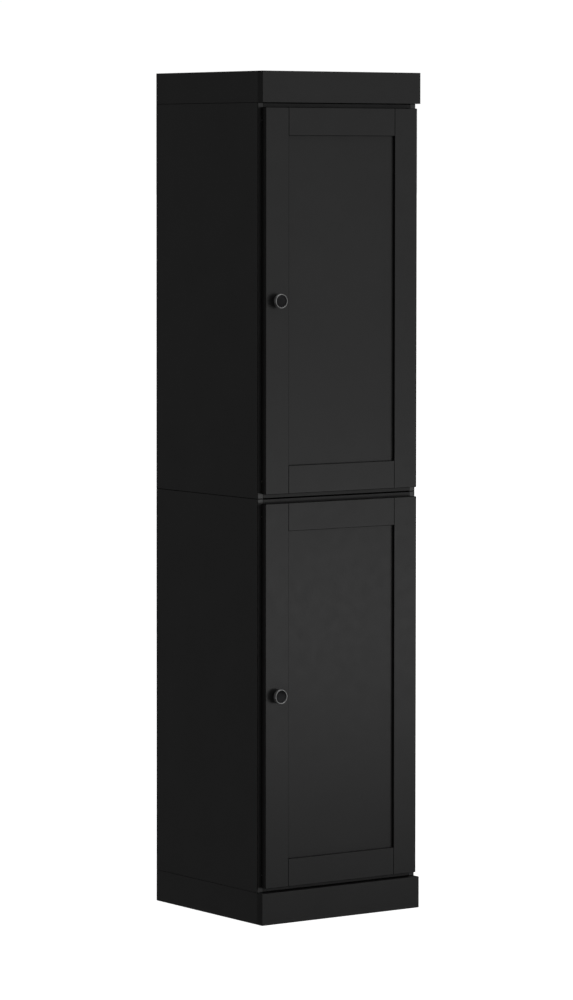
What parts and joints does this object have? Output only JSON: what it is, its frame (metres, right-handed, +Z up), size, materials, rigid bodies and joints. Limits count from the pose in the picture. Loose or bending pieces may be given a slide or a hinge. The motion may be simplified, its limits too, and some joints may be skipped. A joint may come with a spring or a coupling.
{
  "type": "pantry cabinet",
  "caption": "Tall narrow black pantry cabinet: two equal modules with framed flat-panel doors, round knobs on the left, shelves inside, a flat cap and a plinth.",
  "frame": {"origin": "on the floor, under the middle of the cabinet's overall box (knobs included)", "axes": "+X to the right of a person who faces the doors, +Y to the back, +Z up"},
  "size_m": [0.454, 0.4584, 1.977],
  "materials": {
    "cabinet_lacquer": "smooth black satin lacquer on boards, a little orange peel",
    "door_panel": "the same black satin lacquer on the flat door panel",
    "interior_board": "black matt melamine with a fine grain print",
    "back_board": "black printed hardboard, dull",
    "knob_metal": "black satin metal, rim worn a little brighter",
    "hardware_steel": "nickel-plated steel",
    "bumper_rubber": "clear soft rubber",
    "leg_plastic": "black moulded plastic"
  },
  "bodies": {
    "carcass": {"cap_back": "cabinet_lacquer", "cap_front": "cabinet_lacquer", "cap_side_left": "cabinet_lacquer", "cap_side_right": "cabinet_lacquer", "cap_top": "cabinet_lacquer", "leg_back_left": "leg_plastic", "leg_back_right": "leg_plastic", "leg_front_left": "leg_plastic", "leg_front_right": "leg_plastic", "lower_back_panel": "back_board", "lower_bottom_panel": "interior_board", "lower_door_hinge_arm_lower": "hardware_steel", "lower_door_hinge_arm_upper": "hardware_steel", "lower_door_hinge_plate_lower": "hardware_steel", "lower_door_hinge_plate_upper": "hardware_steel", "lower_shelf_1": "interior_board", "lower_shelf_2": "interior_board", "lower_side_left": "cabinet_lacquer", "lower_side_right": "cabinet_lacquer", "lower_top_panel": "interior_board", "module_bolt_left": "hardware_steel", "module_bolt_right": "hardware_steel", "plinth_back": "cabinet_lacquer", "plinth_front": "cabinet_lacquer", "plinth_side_left": "cabinet_lacquer", "plinth_side_right": "cabinet_lacquer", "upper_back_panel": "back_board", "upper_bottom_panel": "interior_board", "upper_door_hinge_arm_lower": "hardware_steel", "upper_door_hinge_arm_upper": "hardware_steel", "upper_door_hinge_plate_lower": "hardware_steel", "upper_door_hinge_plate_upper": "hardware_steel", "upper_shelf_1": "interior_board", "upper_shelf_2": "interior_board", "upper_side_left": "cabinet_lacquer", "upper_side_right": "cabinet_lacquer", "upper_top_panel": "interior_board", "wall_bracket": "hardware_steel"},
    "lower_door": {"lower_door_bumper_lower": "bumper_rubber", "lower_door_bumper_upper": "bumper_rubber", "lower_door_hinge_cup_lower": "hardware_steel", "lower_door_hinge_cup_upper": "hardware_steel", "lower_door_knob": "knob_metal", "lower_door_knob_screw": "hardware_steel", "lower_door_panel": "door_panel", "lower_door_rail_bottom": "cabinet_lacquer", "lower_door_rail_top": "cabinet_lacquer", "lower_door_stile_left": "cabinet_lacquer", "lower_door_stile_right": "cabinet_lacquer"},
    "upper_door": {"upper_door_bumper_lower": "bumper_rubber", "upper_door_bumper_upper": "bumper_rubber", "upper_door_hinge_cup_lower": "hardware_steel", "upper_door_hinge_cup_upper": "hardware_steel", "upper_door_knob": "knob_metal", "upper_door_knob_screw": "hardware_steel", "upper_door_panel": "door_panel", "upper_door_rail_bottom": "cabinet_lacquer", "upper_door_rail_top": "cabinet_lacquer", "upper_door_stile_left": "cabinet_lacquer", "upper_door_stile_right": "cabinet_lacquer"}
  },
  "joints": [
    {"name": "lower_door_hinge", "type": "hinge", "parent": "carcass", "child": "lower_door", "pos_m": [0.2095, -0.20405, 0.5315], "axis": [0, 0, 1], "range_deg": [0, 100]},
    {"name": "upper_door_hinge", "type": "hinge", "parent": "carcass", "child": "upper_door", "pos_m": [0.2095, -0.20405, 1.4465], "axis": [0, 0, 1], "range_deg": [0, 100]}
  ]
}
